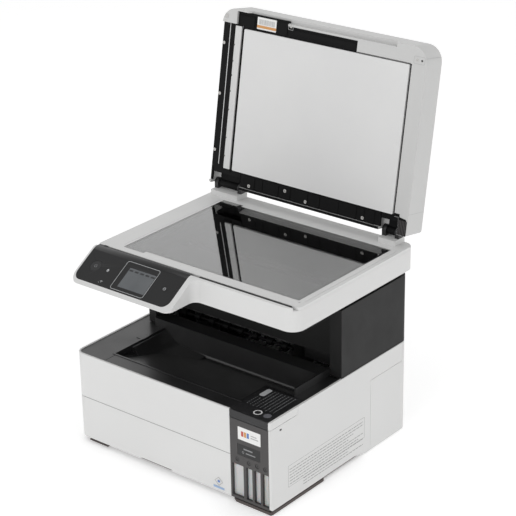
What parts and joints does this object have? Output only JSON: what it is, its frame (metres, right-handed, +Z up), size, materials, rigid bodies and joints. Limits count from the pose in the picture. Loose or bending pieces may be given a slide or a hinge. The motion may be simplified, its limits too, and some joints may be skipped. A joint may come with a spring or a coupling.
{
  "type": "inkjet multifunction printer",
  "caption": "Flatbed inkjet printer with an open document lid, sloping control panel, top output tray, front paper cassette and refillable ink tanks behind a windowed bezel.",
  "frame": {"origin": "bottom centre of the whole body with the lid standing open, on the plane that the feet rest on", "axes": "+X to the right seen from the front, +Y to the back, +Z up"},
  "size_m": [0.375, 0.4061, 0.5885],
  "materials": {
    "white_shell": "fine matte texture, warm white",
    "black_shell": "fine spark-eroded texture, black",
    "dark_frame": "matte dark grey",
    "grey_bezel": "satin dark grey",
    "panel_black": "satin film over black",
    "panel_button": "satin",
    "display_glass": "unlit display under a clear film",
    "platen_glass": "flat float glass",
    "document_mat": "white film over foam",
    "feeder_bar": "light grey satin",
    "screw_steel": "zinc plated",
    "rubber": "matte rubber",
    "roller_rubber": "ground rubber",
    "grey_plastic": "matte grey",
    "carriage_plastic": "matte black",
    "rail_steel": "zinc plated sheet",
    "belt_rubber": "moulded rubber",
    "motor_steel": "plated can",
    "pinion_plastic": "natural acetal",
    "board": "solder mask",
    "supply_case": "matte black",
    "socket_black": "matte black",
    "tube_clear": "translucent elastomer",
    "tank_black": "translucent wall over black ink",
    "tank_cyan": "translucent wall over dark cyan ink",
    "tank_magenta": "translucent wall over dark magenta ink",
    "tank_yellow": "translucent wall over dark yellow ink",
    "cap_rubber": "soft stopper"
  },
  "bodies": {
    "base": {"ac_inlet": "socket_black", "carriage_belt": "belt_rubber", "carriage_motor": "motor_steel", "carriage_rail": "rail_steel", "chassis": "dark_frame", "engine_housing": "black_shell", "feed_motor": "motor_steel", "front_cover": "white_shell", "ink_bezel": "grey_bezel", "ink_tank_black": "tank_black", "ink_tank_cyan": "tank_cyan", "ink_tank_magenta": "tank_magenta", "ink_tank_yellow": "tank_yellow", "ink_tubes": "tube_clear", "left_side_cover": "white_shell", "main_board": "board", "maintenance_station": "carriage_plastic", "output_tray": "black_shell", "platen": "grey_plastic", "power_supply": "supply_case", "rear_panel": "white_shell", "right_side_cover": "white_shell", "rubber_feet": "rubber", "tank_caps": "cap_rubber"},
    "cassette": {"cassette_tray": "grey_plastic", "cassette_front": "white_shell"},
    "paper_guide_left": {"paper_guide_left": "grey_plastic"},
    "paper_guide_right": {"paper_guide_right": "grey_plastic"},
    "length_guide": {"length_guide": "grey_plastic"},
    "pickup_roller": {"pickup_roller": "rubber"},
    "feed_roller": {"feed_roller": "roller_rubber"},
    "motor_pinion": {"motor_pinion": "pinion_plastic"},
    "pinch_rollers": {"pinch_rollers": "rubber"},
    "eject_roller": {"eject_roller": "roller_rubber"},
    "print_carriage": {"print_carriage": "carriage_plastic"},
    "rear_cover": {"rear_cover": "white_shell"},
    "ink_cover": {"ink_cover": "black_shell", "ink_cover_cheek": "white_shell"},
    "scanner": {"scanner_base": "white_shell", "scanner_frame": "white_shell", "platen_glass": "platen_glass", "under_tray": "dark_frame", "control_panel": "panel_black", "display": "display_glass", "scan_rail": "rail_steel", "scan_drive": "belt_rubber", "lid_brackets": "black_shell"},
    "scan_carriage": {"scan_carriage": "carriage_plastic"},
    "power_button": {"power_button": "panel_button"},
    "lid": {"lid_shell": "white_shell", "lid_plate": "black_shell", "document_mat": "document_mat", "feeder_bar": "feeder_bar", "lid_screws": "screw_steel", "lid_knuckles": "black_shell"},
    "feeder_cover": {"feeder_cover": "white_shell"},
    "feeder_roller": {"feeder_roller": "roller_rubber"},
    "input_tray": {"input_tray": "white_shell"},
    "feeder_guide_front": {"feeder_guide_front": "grey_plastic"},
    "feeder_guide_rear": {"feeder_guide_rear": "grey_plastic"}
  },
  "joints": [
    {"name": "cassette_slide", "type": "slide", "parent": "base", "child": "cassette", "axis": [0, -1, 0], "range_m": [0, 0.28]},
    {"name": "guide_left_slide", "type": "slide", "parent": "cassette", "child": "paper_guide_left", "axis": [1, 0, 0], "range_m": [0, 0.055]},
    {"name": "guide_right_slide", "type": "slide", "parent": "cassette", "child": "paper_guide_right", "axis": [-1, 0, 0], "range_m": [0, 0.055]},
    {"name": "length_guide_slide", "type": "slide", "parent": "cassette", "child": "length_guide", "axis": [0, -1, 0], "range_m": [0, 0.12]},
    {"name": "pickup_spin", "type": "hinge", "parent": "base", "child": "pickup_roller", "pos_m": [-0.0325, 0.023, 0.048], "axis": [1, 0, 0], "continuous": true},
    {"name": "feed_spin", "type": "hinge", "parent": "base", "child": "feed_roller", "pos_m": [0, 0.063, 0.1545], "axis": [1, 0, 0], "continuous": true},
    {"name": "pinion_spin", "type": "hinge", "parent": "base", "child": "motor_pinion", "pos_m": [0, 0.063, 0.13785], "axis": [1, 0, 0], "continuous": true},
    {"name": "pinch_spin", "type": "hinge", "parent": "base", "child": "pinch_rollers", "pos_m": [0, 0.063, 0.1643], "axis": [1, 0, 0], "continuous": true},
    {"name": "eject_spin", "type": "hinge", "parent": "base", "child": "eject_roller", "pos_m": [0, -0.013, 0.1545], "axis": [1, 0, 0], "continuous": true},
    {"name": "carriage_slide", "type": "slide", "parent": "base", "child": "print_carriage", "axis": [-1, 0, 0], "range_m": [0, 0.225]},
    {"name": "rear_cover_slide", "type": "slide", "parent": "base", "child": "rear_cover", "axis": [0, 1, 0], "range_m": [0, 0.06]},
    {"name": "ink_cover_hinge", "type": "hinge", "parent": "base", "child": "ink_cover", "pos_m": [0, -0.1214, 0.1453], "axis": [-1, 0, 0], "range_deg": [0, 95]},
    {"name": "scanner_lift", "type": "hinge", "parent": "base", "child": "scanner", "pos_m": [0, 0.1215, 0.2505], "axis": [-1, 0, 0], "range_deg": [0, 30]},
    {"name": "scan_slide", "type": "slide", "parent": "scanner", "child": "scan_carriage", "axis": [1, 0, 0], "range_m": [0, 0.275]},
    {"name": "power_press", "type": "slide", "parent": "scanner", "child": "power_button", "axis": [0, 0.5299, -0.848], "range_m": [0, 0.0012], "stiffness_N_per_m": 300, "springref_m": -0.0003},
    {"name": "lid_hinge", "type": "hinge", "parent": "scanner", "child": "lid", "pos_m": [0, 0.1297, 0.3138], "axis": [1, 0, 0], "range_deg": [0, 100]},
    {"name": "feeder_cover_hinge", "type": "hinge", "parent": "lid", "child": "feeder_cover", "pos_m": [-0.1795, 0.17481, 0.44466], "axis": [0, 0.1736, 0.9848], "range_deg": [0, 75]},
    {"name": "feeder_spin", "type": "hinge", "parent": "lid", "child": "feeder_roller", "pos_m": [-0.13, 0.15432, 0.44827], "axis": [0, -0.1736, -0.9848], "continuous": true},
    {"name": "input_tray_hinge", "type": "hinge", "parent": "lid", "child": "input_tray", "pos_m": [-0.0869, 0.17432, 0.44474], "axis": [0, 0.1736, 0.9848], "range_deg": [0, 25]},
    {"name": "feeder_guide_rear_slide", "type": "slide", "parent": "input_tray", "child": "feeder_guide_rear", "axis": [0, 0.1736, 0.9848], "range_m": [0, 0.04]},
    {"name": "feeder_guide_front_slide", "type": "slide", "parent": "input_tray", "child": "feeder_guide_front", "axis": [0, -0.1736, -0.9848], "range_m": [0, 0.04]}
  ],
  "couplings": [
    {"joint": "guide_right_slide", "follows": "guide_left_slide", "ratio": 1},
    {"joint": "pinion_spin", "follows": "feed_spin", "ratio": -2.6667},
    {"joint": "pinch_spin", "follows": "feed_spin", "ratio": -1.375},
    {"joint": "eject_spin", "follows": "feed_spin", "ratio": 1},
    {"joint": "feeder_guide_front_slide", "follows": "feeder_guide_rear_slide", "ratio": 1}
  ]
}
